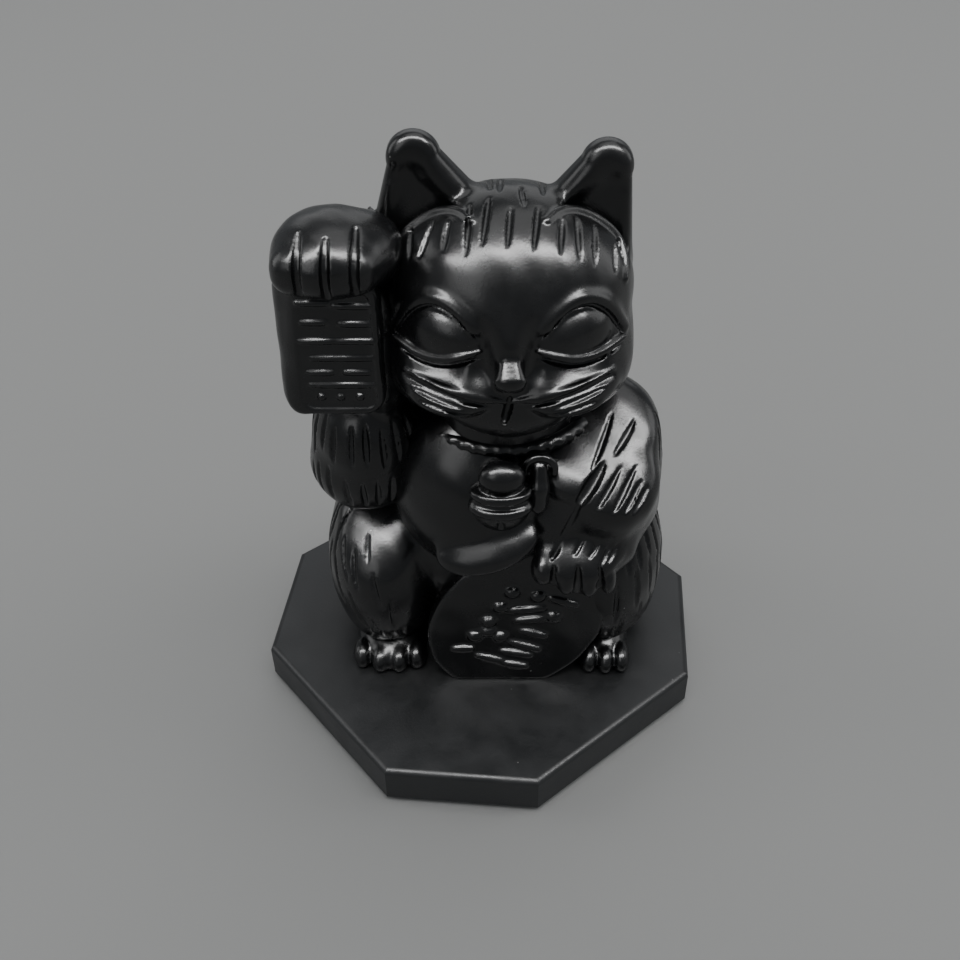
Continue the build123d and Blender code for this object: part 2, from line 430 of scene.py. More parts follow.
def felt_material():
    """Black felt: a fibrous nap with a little sheen."""
    material, tree, shader, place = start_material("felt_black")
    shader.inputs["Sheen Weight"].default_value = 0.4
    fibres = texture(tree, place, Scale=1500.0, Detail=6.0, Roughness=0.75)
    base = ramp(tree, fibres, (0.3, rgb(0.012, 0.012, 0.013)), (0.75, rgb(0.06, 0.06, 0.063)))
    rough = ramp(tree, fibres, (0.2, plain(0.85)), (0.8, plain(1)))
    set_surface(tree, shader, base, rough, fibres, 0.6, 0.0002)
    return material


def birch_material():
    """Pale birch with a fine grain, for the dowels."""
    material, tree, shader, place = start_material("birch")
    rings = texture(tree, place, "ShaderNodeTexWave", Scale=260.0, Distortion=5.0, Detail=3.0)
    base = ramp(tree, rings, (0.1, rgb(0.50, 0.36, 0.21)), (0.9, rgb(0.66, 0.52, 0.34)))
    rough = ramp(tree, rings, (0.0, plain(0.5)), (1.0, plain(0.7)))
    set_surface(tree, shader, base, rough, rings, 0.3, 0.0001)
    return material


# Each is given its dark and light colour, its roughness and the strength of its grain.
FIGURE = satin_black("figure_black", (0.0055, 0.0058, 0.0063), (0.0105, 0.0109, 0.0118), 0.25, 0.30)
PLINTH = satin_black("plinth_black", (0.0050, 0.0057, 0.0063), (0.0092, 0.0102, 0.0112), 0.42, 0.45)


# ---- head ---------------------------------------------------------------------------------
# Places are from the skull's centre. side is -1 for the cat's right and 1 for its left.
# The lines of the face are x, z in the upright plane y = FACE_Y from that centre, as seen.
SKULL_RADII = (14.4, 13.4, 14.4)
FACE_Y = -10.5
# The foot and the tip of each ear, as x, z, half width.
EARS = {
    -1: ((8.7, 9.8, 7.2), (10.4, 17.5, 3.0)),
    1: ((7.9, 7.8, 6.6), (10.7, 16.5, 2.9)),
}
EAR_Y = 1.8                                  # the middle of the ears' thickness, near their feet
EAR_HOLLOW = 0.76                            # half thicknesses from an ear's middle to its hollow's floor
EAR_FRINGE_X = 9.8                           # where the fur over the hollow's foot comes furthest back
EYE = (6.9, -8.2, 1.6)
EYE_TURN = 33.0                              # degrees that each eye faces to its own side
CHEEK_TURN = 24.0                            # degrees that each cheek faces to its own side
CHEEK_TILT = 41.0                            # degrees that the cheeks lean back
UPPER_LID = [(3.6, 2.8), (5.2, 4.8), (7.1, 6.6), (9.0, 7.0), (10.9, 6.0), (12.2, 3.9)]
LID_LINE = [(3.5, 1.8), (5.1, 3.8), (6.8, 5.5), (8.6, 6.1), (10.4, 5.3), (11.9, 3.2)]
LOWER_LID = [(3.2, 0.3), (5.2, -0.4), (7.6, -0.8), (10.1, 0.1), (12.0, 1.8)]
CHEEK_EDGE = [(0.3, -6.7), (2.2, -6.4), (5.9, -5.5), (9.2, -4.0), (11.2, -2.5)]
WHISKERS = [[(11.1, -2.9), (8.4, -5.0), (5.9, -6.6)],
            [(10.9, -4.7), (8.1, -6.4), (5.3, -7.7)],
            [(10.5, -6.4), (7.8, -7.7), (4.7, -8.7)]]
MOUTH_SLIT = [(0.2, -5.9), (0.0, -7.5), (-0.4, -9.2)]
EAR_LIP = [(12.2, 9.1), (12.0, 11.5), (11.3, 13.6), (10.0, 15.2),
           (8.0, 16.5), (6.3, 17.0), (4.8, 16.7), (4.0, 15.9)]
EAR_FOOT_FOLD = [(-14.6, -5.0, 73.2), (-13.4, -5.0, 71.4), (-12.4, -5.0, 69.4)]      # in the cat's frame
# The strokes over the brow, each from its lower to its upper end.
FRINGE = [((-10.4, 11.3), (-10.1, 14.3)), ((-9.4, 11.4), (-8.0, 15.1)), ((-6.8, 12.3), (-6.3, 15.2)),
          ((-4.5, 11.7), (-4.0, 17.0)), ((-2.8, 12.9), (-2.1, 17.7)), ((-0.2, 12.7), (0.1, 16.6)),
          ((2.5, 12.3), (2.9, 16.7)), ((5.3, 11.9), (5.4, 15.4)), ((7.3, 11.2), (6.9, 15.4)),
          ((8.9, 10.6), (8.7, 14.7)), ((11.1, 9.8), (10.9, 12.6)),
          ((-1.0, 18.8), (-0.9, 20.0)), ((-1.9, 19.0), (-2.1, 20.1)),
          ((1.5, 17.2), (1.2, 19.1)), ((3.4, 18.4), (3.2, 19.8))]
CROWN_LEVELS = (9.5, 4.5, -0.5, -5.5)        # the middles of the rows of strokes behind
CROWN_COUNT = 13                             # strokes in a row
CROWN_START = 8                              # degrees from the cat's left to a row's first stroke
CROWN_STEP = 13.2                            # degrees from one stroke of a row to the next
CROWN_BEHIND = 2.0                           # strokes that start less far back than this are left out


def skull(p):
    """The round of the head with its broad forehead."""
    brow = egg(p, HEAD + np.array((0, -1.5, 4.5)), (14.0, 9.8, 9.5))
    return join(egg(p, HEAD, SKULL_RADII), brow, 1.5)


def ear(q, side, outer=True):
    """The solid ear, or the hollow that is cut into its front."""
    (foot_x, foot_z, foot_half), (tip_x, tip_z, tip_half) = EARS[side]
    flat = q * np.float32((1, 0, 1))
    behind = q[:, 1] - EAR_Y + 0.05 * (q[:, 2] - 10)
    thick = np.clip(3.4 - 0.16 * (q[:, 2] - 8), 1.5, 3.6)
    if outer:
        leaf = cone(flat, (side * foot_x, 0, foot_z), (side * tip_x, 0, tip_z), foot_half, tip_half)
        return slab(leaf, np.abs(behind) - thick, 0.8 * thick)
    foot = (side * (foot_x + 1.1), 0, 10.0)
    tip = (side * (tip_x + 0.6), 0, tip_z - 2.0)
    leaf = cone(flat, foot, tip, foot_half - 2.0, tip_half - 1.1)
    return slab(leaf, behind + EAR_HOLLOW * thick, 1.5)


def face_base(p):
    """The head without its ears, before the carver's cuts."""
    q = p - HEAD.astype(np.float32)
    field = skull(p)
    for side in (-1, 1):
        jowl = egg(q, (side * 7.8, -4.4, -4.4), (6.4, 6.9, 6.0))
        field = join(field, jowl, 3.0)
    field = join(field, egg(q, (0, -9.0, -6.4), (6.6, 4.4, 4.8)), 2.0)                   # muzzle
    field = join(field, egg(q, (-0.2, -8.8, -10.2), (2.8, 2.4, 1.7)), 1.0)               # chin
    field = join(field, egg(q, (0, -9.6, -8.0), (6.4, 3.2, 3.0)), 1.5)                   # below the mouth
    for side in (-1, 1):
        eye_turn = spin(z=side * EYE_TURN)
        cheek_turn = np.array(spin(z=side * CHEEK_TURN) @ spin(x=CHEEK_TILT), np.float32)
        socket = egg(q, (side * 8.2, -12.2, 2.9), (5.4, 2.3, 3.9), eye_turn)
        bridge_side = egg(q, (side * 3.2, -14.4, 0.8), (1.7, 2.6, 4.8))
        cheek = egg(q, (side * 6.8, -10.5, -4.1), (5.8, 3.8, 2.6), cheek_turn)
        above_cheek = egg(q, (side * 7.9, -13.4, -0.5), (5.4, 3.9, 2.5), cheek_turn)
        ball = egg(q, (side * EYE[0], EYE[1], EYE[2]), (5.5, 3.5, 4.0), eye_turn)
        above_lid = q[:, 2] + 0.6 * (q[:, 1] - FACE_Y) + 0.9 - 0.09 * (np.abs(q[:, 0]) - 7.2) ** 2
        field = cut(cut(field, socket, 0.9), bridge_side, 1.4)
        field = cut(join(field, cheek, 0.9), above_cheek, 0.5)
        field = join(field, cut(ball, above_lid, 0.2), 0.15)
    bridge = cone(q, (0.1, -10.7, 6.2), (0.1, -12.3, 1.8), 0.5, 0.8)
    nose = cone(q * np.float32((0.7, 1, 1)), (0.07, -12.6, 0.9), (0.07, -14.2, -1.3), 0.75, 1.3)
    under_nose = egg(q, (0.1, -12.5, -2.6), (2.0, 1.4, 0.9))
    field = join(join(join(field, bridge, 0.9), nose, 0.4), under_nose, 0.5)
    return field + handwork(p, 0.02)


def with_ears(q, field):
    """A head's field joined with both solid ears, at points q from the skull's centre."""
    return join(join(field, ear(q, -1), 1.0), ear(q, 1), 1.0)


def head_base(p):
    """The whole head with solid ears, before the carver's cuts."""
    return with_ears(p - HEAD.astype(np.float32), face_base(p))


def on_face(points, side=1, rise=0.0, shape=face_base):
    """Points given as x, z in the face's plane, slid onto the face as they are seen."""
    places = [HEAD + np.array((side * x, FACE_Y, z + rise)) for x, z in points]
    return seen(shape, places)


def crown_stroke(top, low):
    """A stroke on the skull between two rough places given from its centre."""
    path = np.array([top, (top + low) / 2, low])
    return land(skull, HEAD + 2.2 * path, HEAD)


def head_strokes():
    """Every ridge and gouge of the head, as (mode, path, radius, blend, taper)."""
    out = []
    for side in (-1, 1):
        out.append(("gouge", on_face(CHEEK_EDGE[1:], side, -0.9), 0.5, 0.4, 0.6))
        out.append(("ridge", on_face(CHEEK_EDGE, side), 0.34, 0.4, 0.6))
        out.append(("ridge", on_face(UPPER_LID, side), 0.30, 1.3, 0.5))
        out.append(("ridge", on_face(LOWER_LID, side) - np.float32((0, 0.3, 0)), 0.55, 0.2, 0.5))
        out.append(("gouge", on_face(LID_LINE, side), 0.29, SHARP, 0.4))
        out.append(("gouge", on_face(LOWER_LID, side, -1.0), 0.26, 0.2, 0.6))
        for path in WHISKERS:
            out.append(("gouge", on_face(path, side), 0.36, 0.2, 0.7))
        out.append(("ridge", on_face(EAR_LIP, side, shape=head_base), 0.50, 0.5, 0.4))
    out.append(("gouge", on_face(MOUTH_SLIT) + np.float32((0, 0.45, 0)), 0.6, SHARP, 0.5))
    out.append(("ridge", seen(head_base, EAR_FOOT_FOLD), 0.45, 0.3, 0.5))
    for low, high in FRINGE:
        middle = ((low[0] + high[0]) / 2, (low[1] + high[1]) / 2)
        out.append(("gouge", on_face([low, middle, high]), 0.36, SHARP, 0.75))
    return out + crown_strokes()


def crown_strokes():
    """Rows of short gouges round the back of the head, from just behind one ear to the other."""
    out = []
    for row, level in enumerate(CROWN_LEVELS):
        for i in range(CROWN_COUNT):
            turn = CROWN_START + CROWN_STEP * (i + 0.5 * (row % 2))
            angle = math.radians(turn + rng.uniform(-3, 3))
            across, back = math.cos(angle) * 10, math.sin(angle) * 10
            if back < CROWN_BEHIND:
                continue
            top = np.array((across, back, level + 2.0 + rng.uniform(-0.5, 0.5)))
            low = np.array((across, back, level - 2.0))
            out.append(("gouge", crown_stroke(top, low), 0.38, SHARP, 0.8))
    return out


def hollowed_head(p):
    """The head with its ears hollowed, down to a fringe of fur that overhangs each hollow's foot."""
    q = p - HEAD.astype(np.float32)
    face = face_base(p)
    hollows = np.minimum(ear(q, -1, outer=False), ear(q, 1, outer=False))
    outward = np.abs(q[:, 0]) - EAR_FRINGE_X
    fringe_back = -0.6 - np.where(outward < 0, 0.12, 0.5) * outward ** 2
    fringe = cut(face, fringe_back - q[:, 1], 0.3)
    return np.minimum(cut(with_ears(q, face), hollows, 1.4), fringe)


def make_head():
    make_piece("head", carved(hollowed_head, head_strokes()))


# ---- fur ----------------------------------------------------------------------------------
def pinned_front(base, path):
    """Points slid along Y onto the front of a shape."""
    path = np.asarray(path, np.float32)
    return land(base, path - np.float32((0, 8, 0)), path + np.float32((0, 8, 0)))


def fur_rows(base, axis, levels, angles, size, radius, lean=0.0):
    """Rows of gouges round an upright axis at x, y. Angles are in degrees, 90 being the back."""
    out = []
    reach = 40.0                             # mm from the axis, outside every shape
    start, stop, step = angles
    for row, level in enumerate(levels):
        for angle in np.arange(start + (row % 2) * step / 2, stop, step):
            turn = math.radians(angle + rng.uniform(-0.18, 0.18) * step)
            top = level + size / 2 + rng.uniform(-0.15, 0.15) * size
            low = top - size * rng.uniform(0.85, 1.1)
            path = []
            for t in (0, 0.5, 1):
                sweep = turn + math.radians(lean) * t
                z = top + (low - top) * t
                path.append((axis[0] + reach * math.cos(sweep), axis[1] + reach * math.sin(sweep), z))
            centre = [(*axis, z) for (_, _, z) in path]
            out.append(("gouge", land(base, path, centre), radius * rng.uniform(0.8, 1.15), SHARP, 0.85))
    return out


def pinned(base, path, radius, inside, taper=0.8):
    """One gouge through rough places outside or on a shape, drawn onto it towards a point."""
    path, inside = np.array(path, float), np.array(inside, float)
    return ("gouge", land(base, inside + (path - inside) * 1.6, inside), radius, SHARP, taper)


# ---- body ---------------------------------------------------------------------------------
RIGHT_HAUNCH = (-16.4, 0.5, 18.5)
LEFT_HAUNCH = (14.0, 1.0, 18.5)


def body_base(p):
    """The torso, the neck and both haunches, before the fur is cut."""
    hips = egg(p, (0, 5.0, 17), (17.0, 12.6, 17.0))
    waist = egg(p, (0, 3.0, 32), (15.6, 12.2, 14.0))
    shoulders = egg(p, (0, 0.8, 41), (12.6, 10.4, 9.4))
    belly = egg(p, (-2, -1.6, 23), (14.5, 8.2, 14.0))
    neck = cone(p, (0, -3.0, 38), (0, -3.0, 48), 9.2, 8.6)
    haunch = egg(p, RIGHT_HAUNCH, (8.5, 13.0, 14.0))
    haunch = planed(p, haunch, (-18, -10.0, 25.8), (-0.15, -0.56, 0.81), 2.0)            # the knee
    field = join(join(join(hips, waist, 3.0), shoulders, 3.0), belly, 2.0)
    field = join(join(field, neck, 1.5), haunch, 1.2)
    field = join(field, egg(p, LEFT_HAUNCH, (8.3, 13.0, 14.0)), 1.2)
    return field + handwork(p, 0.03)


# Strokes on the front of the right haunch.
HAUNCH_FRONT = [
    [(-20.1, -8.3, 26.8), (-20.2, -10.4, 24.2), (-19.6, -10.9, 21.6)],
    [(-18.2, -7.8, 28.8), (-18.3, -9.0, 27.6), (-18.1, -9.8, 25.6)],
    [(-21.6, -6.7, 27.4), (-21.8, -8.4, 25.0), (-21.0, -9.5, 22.2)],
    [(-17.4, -11.3, 24.6), (-17.2, -11.9, 22.4), (-16.6, -12.2, 19.6)],
    [(-22.8, -5.5, 24.6), (-22.9, -7.4, 21.6), (-22.0, -9.0, 18.0)],
    [(-20.8, -9.8, 20.6), (-20.2, -10.9, 17.6), (-19.0, -11.4, 14.6)],
    [(-15.2, -11.9, 21.0), (-15.0, -12.4, 18.0), (-15.0, -12.2, 15.0)],
    [(-18.4, -11.8, 17.6), (-17.8, -12.0, 14.6), (-17.0, -11.6, 12.0)],
]


def make_body():
    strokes = [pinned(body_base, path, 0.30, RIGHT_HAUNCH, taper=0.9) for path in HAUNCH_FRONT]
    strokes += fur_rows(body_base, (-14.5, 2.0), (27, 20.5, 14), (150, 225, 12), 6.4, 0.34)
    strokes += fur_rows(body_base, (12.2, 2.0), (27, 20.5, 14), (-85, 40, 12), 6.4, 0.34)
    strokes += fur_rows(body_base, (0, 3.0), (43, 38, 33, 28, 23, 18, 13), (22, 160, 11), 4.6, 0.38)
    shape = carved(body_base, strokes)
    make_piece("body", lambda p: on_plinth(p, shape(p)), voxel=BODY_VOXEL)


# ---- feet ---------------------------------------------------------------------------------
# Each foot's centre and radii, then the x of its toes and half the width of a toe.
FEET = {
    "right_hind_foot": ((-16.1, -6.3, 7.6), (5.0, 6.2, 3.2), (-20.0, -17.4, -14.8, -12.4), 1.42),
    "left_hind_foot": ((14.1, -5.8, 7.8), (3.5, 5.8, 3.2), (11.9, 14.2, 16.4), 1.28),
}


def make_foot(node):
    sole, radii, toes, toe_width = FEET[node]

    def shape(p):
        field = egg(p, sole, radii)
        for x in toes:
            inset = 0.06 * (x - sole[0]) ** 2
            field = join(field, egg(p, (x, -10.9 + inset, 7.7), (toe_width, 2.3, 2.0)), 0.3)
        return on_plinth(p, field + handwork(p, 0.02))

    make_piece(node, shape)


# ---- arms ---------------------------------------------------------------------------------
PAW_GROOVES = (-21.6, -18.6, -15.6)          # x of the grooves between the fingers
# The forearm's stations: x, y, z, radius.
FOREARM = [(-18.2, -1.5, 44.0, 4.8), (-18.4, -2.6, 53.0, 5.2),
           (-18.4, -3.2, 62.0, 5.0), (-17.8, -4.0, 67.6, 3.9)]


def raised_arm_base(p):
    """The raised arm and its paw, before the fur is cut."""
    shoulder = egg(p, (-17.2, -2.0, 41.6), (7.3, 8.8, 9.4))
    elbow = egg(p, (-17.8, -2.4, 37.4), (7.4, 7.8, 6.6))
    toward_head = egg(p, (-14.6, -2.5, 55.0), (4.0, 8.0, 10.0))
    field = join(join(shoulder, elbow, 1.5), chain(p, FOREARM, 1.0), 1.5)
    field = join(field, toward_head, 1.5)
    paw = egg(p, (-19.0, -7.4, 69.2), (6.3, 6.9, 4.6))
    paw = join(paw, block(p, (-19.1, -8.2, 68.9), (5.9, 5.1, 2.6), 2.3), 0.8)
    paw = join(paw, egg(p, (-14.8, -5.8, 68.6), (3.7, 5.2, 3.9)), 1.5)
    return join(field, paw, 1.0) + handwork(p, 0.03)


def make_raised_arm():
    strokes = []
    for x in PAW_GROOVES:
        path = [(x, -10.8, 72.9), (x, -12.6, 71.6), (x - 0.1, -13.4, 69.5), (x - 0.1, -13.2, 66.9)]
        strokes.append(("gouge", pinned_front(raised_arm_base, path), 0.55, 0.2, 0.5))
    strokes += fur_rows(raised_arm_base, (-17.2, -1.5), (44.6, 37.6), (175, 345, 14), 4.8, 0.42)
    strokes += fur_rows(raised_arm_base, (-17.6, -2.0), (63, 57.5, 52, 46, 39), (10, 170, 18), 4.2, 0.42)
    make_piece("raised_arm", carved(raised_arm_base, strokes))


# The lowered arm's stations: x, y, z, radius.
LEFT_ARM = [(12.5, 0.0, 45.4, 3.2), (13.2, -1.0, 42.4, 5.4), (13.8, -3.0, 38.0, 6.3),
            (13.6, -6.2, 32.8, 5.9), (12.0, -10.2, 30.0, 4.9), (9.8, -13.2, 28.4, 3.8)]
# Each finger of the lowered paw: x, half width, z.
LOW_FINGERS = [(4.9, 1.6, 29.2), (7.8, 1.35, 28.4), (10.7, 1.25, 27.9), (13.1, 1.1, 28.0)]
LOW_GROOVES = (6.2, 9.2, 11.9)               # x of the grooves between them


def lowered_arm_base(p):
    """The lowered arm, its wide sleeve and its paw, before the fur is cut."""
    field = join(chain(p, LEFT_ARM, 1.0), egg(p, (13.2, -3.2, 43.0), (6.2, 6.2, 5.6)), 1.5)
    field = join(field, egg(p, (8.8, -4.8, 39.0), (6.8, 8.6, 8.6)), 1.2)
    field = join(field, egg(p, (12.9, -5.2, 41.2), (6.5, 7.0, 6.2)), 1.5)
    field = join(field, egg(p, (13.0, -8.6, 36.8), (6.2, 6.8, 5.6)), 2.5)
    field = join(field, egg(p, (13.4, -10.3, 39.6), (5.6, 5.2, 2.9), spin(x=35)), 1.5)
    field = join(field, egg(p, (9.0, -9.7, 42.4), (5.4, 4.8, 3.0), spin(x=36, z=-8)), 1.5)
    field = join(field, egg(p, (6.8, -7.2, 33.5), (5.6, 7.0, 6.5)), 1.5)
    field = planed(p, field, (0, -13.4, 41.2), (0, -0.56, 0.82), 1.5)                     # the sleeve's slope
    field = join(field, egg(p, (9.3, -13.2, 31.4), (5.6, 5.0, 1.9), spin(x=35)), 0.8)     # the paw's back
    field = join(field, egg(p, (9.0, -13.0, 28.4), (4.9, 4.2, 3.2)), 1.0)                 # the paw
    for x, half, z in LOW_FINGERS:
        inset = 0.05 * (x - 9.2) ** 2
        field = join(field, egg(p, (x, -15.6 + inset, z - 0.4), (half, 2.2, 2.2)), 0.3)
    return field + handwork(p, 0.03)


# Paths drawn on the lowered arm as seen, at places near its front.
SEAM = [(12.8, -9.0, 49.0), (11.9, -10.0, 45.6), (10.9, -11.0, 42.7)]
WEDGE = [(12.2, -11.0, 43.3), (10.9, -11.5, 40.3), (9.3, -12.0, 37.3)]
SEAM_END = [(9.4, -12.0, 37.6), (8.0, -12.5, 33.6), (6.5, -13.0, 30.0)]
SHOULDER_FUR = [
    [(15.7, -8.0, 47.3), (14.9, -9.0, 45.7), (13.7, -10.0, 44.0)],
    [(14.3, -10.3, 42.0), (13.1, -11.2, 39.5), (11.8, -12.0, 37.0)],
    [(16.2, -9.5, 41.3), (15.0, -10.5, 38.5), (13.8, -11.5, 35.8)],
    [(17.0, -9.5, 39.0), (16.2, -10.2, 37.1), (15.3, -11.0, 35.3)],
    [(18.1, -8.5, 37.3), (17.3, -9.5, 36.0), (16.4, -10.5, 34.6)],
]
WRIST_FUR = [
    [(10.3, -13.0, 33.8), (9.7, -14.0, 32.9), (9.0, -15.0, 31.9)],
    [(12.3, -13.0, 32.6), (11.6, -14.0, 32.0), (10.9, -15.0, 31.4)],
    [(13.9, -12.5, 32.1), (13.1, -13.7, 31.2), (12.3, -15.0, 30.2)],
    [(14.7, -12.0, 30.8), (14.0, -13.2, 30.5), (13.3, -14.5, 30.1)],
]


def make_lowered_arm():
    def drawn(path, radius, k=SHARP, taper=0.85):
        return ("gouge", seen(lowered_arm_base, path), radius, k, taper)

    strokes = [drawn(SEAM, 0.34), drawn(WEDGE, 0.85, 0.2, 1.0), drawn(SEAM_END, 0.5, SHARP, 0.6)]
    strokes += [drawn(path, 0.42) for path in SHOULDER_FUR]
    strokes += [drawn(path, 0.34) for path in WRIST_FUR]
    for x in LOW_GROOVES:
        strokes.append(drawn([(x, -16.2, 30.4), (x, -17.4, 28.8), (x, -17.0, 25.9)], 0.55, SHARP, 0.6))
    strokes += fur_rows(lowered_arm_base, (13.4, -2.5), (43, 37.5, 32.5), (-35, 95, 15), 4.4, 0.42, lean=-6)
    make_piece("lowered_arm", carved(lowered_arm_base, strokes))


# ---- what it wears ------------------------------------------------------------------------
def make_bib():
    def shape(p):
        """A swelling with a fold along its hem, cut to a round outline that is open upwards."""
        swelling = egg(p, BIB + np.array((0, 0, 1.4)), (12.1, 11.6, 14.0))
        fold = egg(p, (-2.2, -13.7, 32.0), (6.8, 3.8, 1.9), spin(x=35, y=-20))
        q = p - BIB.astype(np.float32)
        outline = np.hypot(q[:, 0], np.minimum(q[:, 2] - 0.6, 0)) - 11.7
        return cut(join(swelling, fold, 1.0), -outline, 0.7) + handwork(p, 0.02)

    make_piece("bib", shape, margin=1.8)


def make_collar():
    beads = 46
    bead_ring = 11.3                         # mm, the radius on which the beads sit

    def shape(p):
        q = p - COLLAR.astype(np.float32)
        out = np.hypot(q[:, 0], q[:, 1]) - 10.8
        cord = np.hypot(out, q[:, 2]) - 0.95
        bead_angle = 2 * np.pi / beads
        nearest = np.round(np.arctan2(q[:, 1], q[:, 0]) / bead_angle) * bead_angle
        middle = np.stack([bead_ring * np.cos(nearest), bead_ring * np.sin(nearest), 0 * nearest], 1)
        return join(cord, length(q - middle) - 0.62, 0.3)

    make_piece("collar", shape)


def make_bell():
    def shape(p):
        """Two swellings with raised bands between them, and a slot below."""
        q = p - BELL.astype(np.float32)
        field = egg(q, (0, -0.8, -0.8), (3.6, 1.9, 4.1))
        field = join(field, egg(q, (0.1, -0.8, 3.2), (2.8, 1.9, 2.2)), 0.6)
        for level, reach in ((1.2, 3.15), (-0.9, 3.3)):
            around = np.hypot(q[:, 0], (q[:, 1] + 1.0) * 1.6) - reach
            band = np.hypot(around, q[:, 2] - level) - 0.62
            field = join(field, band, 0.4)
        slot = block(q, (0, -3.0, -3.8), (0.35, 1.2, 1.2), 0.3)
        return cut(field, slot, 0.15) + handwork(p, 0.02)

    make_piece("bell", shape, margin=3.2)


def make_ribbon():
    stem = [(4.2, -12.9, 43.6, 1.0), (4.2, -13.9, 41.2, 1.2), (4.1, -14.2, 38.9, 1.1)]

    def shape(p):
        field = chain(p, stem, 0.4)
        q = p - np.float32((4.25, -12.9, 43.4))                                          # the loop's middle
        loop = np.hypot(np.hypot(q[:, 0], q[:, 2]) - 1.75, q[:, 1]) - 0.5
        loop = np.maximum(loop, -q[:, 2] - 0.8)
        return join(field, loop, 0.15) + handwork(p, 0.02)

    make_piece("bell_ribbon", shape, margin=2.5)


# ---- what it holds ------------------------------------------------------------------------
def plate(q, half, corner, edge):
    """A plate facing -Y about its own middle, with rounded corners and rounded edges."""
    flat = np.abs(q[:, [0, 2]]) - (np.array((half[0], half[2]), np.float32) - corner)
    outline = length(np.maximum(flat, 0)) + np.minimum(flat.max(1), 0) - corner
    return slab(outline, np.abs(q[:, 1]) - half[1], edge)


TABLET_HALF = (6.0, 2.2, 8.8)
# A plain pattern of bars and pips: (x, z, half length), with 0 for a pip.
TABLET_MARKS = [(-2.2, 6.0, 1.5), (2.2, 5.6, 1.9), (-2.2, 3.6, 1.2), (2.2, 3.4, 1.5),
                (-2.3, 1.2, 1.6), (2.1, 1.2, 2.0), (0.2, -1.0, 3.0), (-2.2, -2.9, 1.2),
                (2.0, -2.9, 1.2), (0.0, -4.6, 3.3), (-2.2, -6.2, 0), (0.0, -6.2, 0), (2.2, -6.2, 0)]


def make_tablet():
    def base(p):
        """A slab with a slanted face on one side and a sunken panel for the marks."""
        q = p - TABLET.astype(np.float32)
        field = plate(q, TABLET_HALF, 2.6, 0.8)
        field = planed(q, field, (-2.9, -TABLET_HALF[1], 6), (-0.68, -0.73, 0.0952), 1.0)
        panel = plate(q - np.float32((0.9, -2.35, -0.2)), (4.3, 0.45, 7.6), 1.4, 0.3)
        return cut(field, panel, 0.2) + handwork(p, 0.03)

    strokes = []
    marks = TABLET + np.array((0.9, 0.36 - TABLET_HALF[1], 0))                           # in the panel
    for x, z, half in TABLET_MARKS:
        reach = max(half, 0.12)
        mark = np.array([marks + np.array((x + side * reach, 0, z)) for side in (-1, 0, 1)])
        strokes.append(("ridge", mark, 0.42 if half else 0.5, 0.15, 0.25))
    make_piece("tablet", carved(base, strokes), margin=1.5)


COIN_LEAN = math.radians(82)                 # how steeply its face stands
COIN_AXIS = math.radians(42)                 # how steeply its long axis rises to the cat's left
COIN_HALF = (13.3, 10.5)                     # along its long axis and across it
COIN_HALF_THICK = 1.5
COIN_MIDDLE = (1.6, 9.7)                     # to the side, and up its slope from the plinth
# The coin's plain pattern: pips, and bars with their ends, to the side and up its slope.
COIN_PIPS = [(1.0, 15.2), (-0.6, 12.8), (-2.2, 10.3), (-4.1, 7.8),
             (-2.3, 8.6), (-0.6, 7.7), (6.6, 11.2), (4.4, 14.6)]
COIN_BARS = [((0.7, 12.2), (4.8, 12.6)), ((1.7, 10.5), (4.8, 10.8)), ((2.4, 8.8), (5.1, 8.0)),
             ((0.6, 6.9), (4.2, 5.7)), ((-0.3, 5.2), (3.1, 4.6)), ((-3.7, 4.4), (-0.8, 3.6)),
             ((-0.8, 3.2), (2.5, 2.6)), ((-7.0, 5.6), (-4.8, 5.6)), ((6.2, 14.3), (9.2, 13.4))]


def coin_place(u, v, out):
    """A place u to the side, v up the coin's slope from the plinth, and out in front of its face."""
    y = COIN_FOOT[1] + v * math.cos(COIN_LEAN) - out * math.sin(COIN_LEAN)
    z = PLINTH_TOP + v * math.sin(COIN_LEAN) + out * math.cos(COIN_LEAN)
    return np.array((u, y, z))


def make_koban():
    middle = coin_place(*COIN_MIDDLE, -COIN_HALF_THICK).astype(np.float32)
    turn = spin(x=math.degrees(COIN_LEAN) - 90)

    def base(p):
        q = (p - middle) @ turn
        along = q[:, 0] * math.cos(COIN_AXIS) + q[:, 2] * math.sin(COIN_AXIS)
        across = q[:, 2] * math.cos(COIN_AXIS) - q[:, 0] * math.sin(COIN_AXIS)
        outline = (np.hypot(along / COIN_HALF[0], across / COIN_HALF[1]) - 1) * COIN_HALF[1]
        return slab(outline, np.abs(q[:, 1]) - COIN_HALF_THICK, 0.7) + handwork(p, 0.03)

    strokes = []
    for u, v in COIN_PIPS:
        pip = np.array([coin_place(u + side * 0.4, v, -0.25) for side in (-1, 0, 1)])
        strokes.append(("ridge", pip, 0.95, 0.2, 0.3))
    for (u1, v1), (u2, v2) in COIN_BARS:
        bar = np.array([coin_place(u1 + (u2 - u1) * t, v1 + (v2 - v1) * t, -0.05) for t in (0, 0.5, 1)])
        strokes.append(("ridge", bar, 0.62, 0.2, 0.4))
    shape = carved(base, strokes)
    make_piece("koban", lambda p: on_plinth(p, shape(p)), margin=1.5)


# ---- tail ---------------------------------------------------------------------------------
# The tail's stations from root to tip: x, y, z, radius.
TAIL = [(2.0, 17.0, 8.4, 2.2), (7.0, 18.8, 9.6, 2.8), (11.0, 18.0, 12.2, 2.8),
        (12.0, 16.6, 16.0, 2.6), (10.0, 16.2, 19.0, 1.6)]


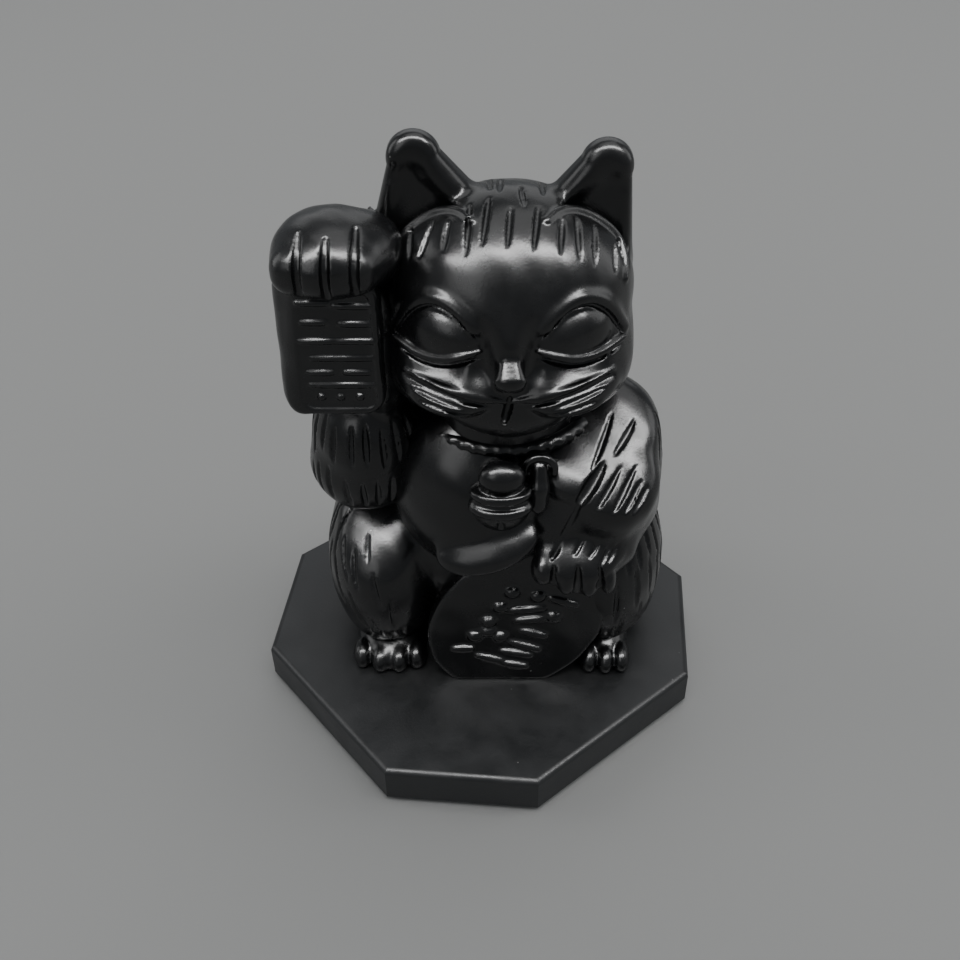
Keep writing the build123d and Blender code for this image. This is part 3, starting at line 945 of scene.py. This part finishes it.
def make_tail():
    def base(p):
        return chain(p, TAIL, 1.2) + handwork(p, 0.03)

    strokes = []
    for (*start, radius), (*stop, _) in zip(TAIL, TAIL[1:]):
        start, stop = np.array(start), np.array(stop)
        middle, along = (start + stop) / 2, 0.38 * (stop - start)
        for lift in (-0.7, 0.5, 1.5):
            out = middle + radius * np.array((0, 1.6, lift))
            strokes.append(pinned(base, [out - along, out, out + along], 0.34, middle))
    shape = carved(base, strokes)
    make_piece("tail", lambda p: on_plinth(p, shape(p)))


# ---- camera, floor and light --------------------------------------------------------------
def make_camera():
    right, up, back, place = camera_axes()
    data = bpy.data.cameras.new("camera")
    data.lens = LENS
    data.sensor_width = 36.0
    data.clip_start = 0.01
    camera = bpy.data.objects.new("camera", data)
    bpy.context.scene.collection.objects.link(camera)
    turn = Matrix((right, up, back)).transposed().to_4x4()
    camera.matrix_world = Matrix.Translation(place * MM) @ turn
    bpy.context.scene.camera = camera


def make_floor():
    half = 8.0                               # metres
    mesh = bpy.data.meshes.new("floor")
    corners = [(-half, -half, 0), (half, -half, 0), (half, half, 0), (-half, half, 0)]
    mesh.from_pydata(corners, [], [(0, 1, 2, 3)])
    floor = bpy.data.objects.new("floor", mesh)
    bpy.context.scene.collection.objects.link(floor)
    material = bpy.data.materials.new("pale_floor")
    material.use_nodes = True
    shader = material.node_tree.nodes["Principled BSDF"]
    shader.inputs["Base Color"].default_value = rgb(0.37, 0.37, 0.362)
    shader.inputs["Roughness"].default_value = 0.9
    mesh.materials.append(material)


def add_light(name, place, aim, size, power, diffuse=True):
    """A rectangular light, with places and sizes in mm. Without diffuse it shows only in reflections."""
    data = bpy.data.lights.new(name, "AREA")
    data.shape = "RECTANGLE"
    data.size, data.size_y = (side * MM for side in size)
    data.energy = power
    lamp = bpy.data.objects.new(name, data)
    bpy.context.scene.collection.objects.link(lamp)
    lamp.location = Vector(place) * MM
    lamp.visible_diffuse = diffuse
    direction = Vector(aim) * MM - lamp.location
    lamp.rotation_euler = direction.to_track_quat("-Z", "Y").to_euler()


def make_light():
    middle = (0, 0, 45)
    add_light("window", (20, -195, 515), middle, (1000, 100), 9.0, diffuse=False)
    add_light("side", (-300, -380, 300), middle, (260, 260), 0.35, diffuse=False)
    add_light("overhead", (300, 150, 2200), middle, (2200, 2200), 19.0)
    add_light("behind", (0, 480, 330), middle, (700, 260), 0.4)
    add_light("left", (-430, 60, 220), middle, (200, 300), 0.35)
    add_light("right", (430, 60, 220), middle, (200, 300), 0.35)
    world = bpy.data.worlds.new("studio")
    world.use_nodes = True
    sky = world.node_tree.nodes["Background"]
    sky.inputs["Color"].default_value = rgb(0.80, 0.84, 0.88)
    sky.inputs["Strength"].default_value = 0.30
    bpy.context.scene.world = world


# ---- the pieces that stay as the CAD made them --------------------------------------------
def finish_cad(node, material):
    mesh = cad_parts[node].data
    mesh.materials.clear()
    mesh.materials.append(material)


make_camera()
make_floor()
make_light()
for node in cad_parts:
    finish_cad(node, PLINTH if node == "plinth" else FIGURE)
finish_cad("felt_pad", felt_material())
birch = birch_material()
for node in ("plinth_dowels", "neck_dowel", "arm_dowels"):
    finish_cad(node, birch)
make_head()
make_body()
for foot in FEET:
    make_foot(foot)
make_raised_arm()
make_lowered_arm()
make_bib()
make_collar()
make_bell()
make_ribbon()
make_tablet()
make_koban()
make_tail()
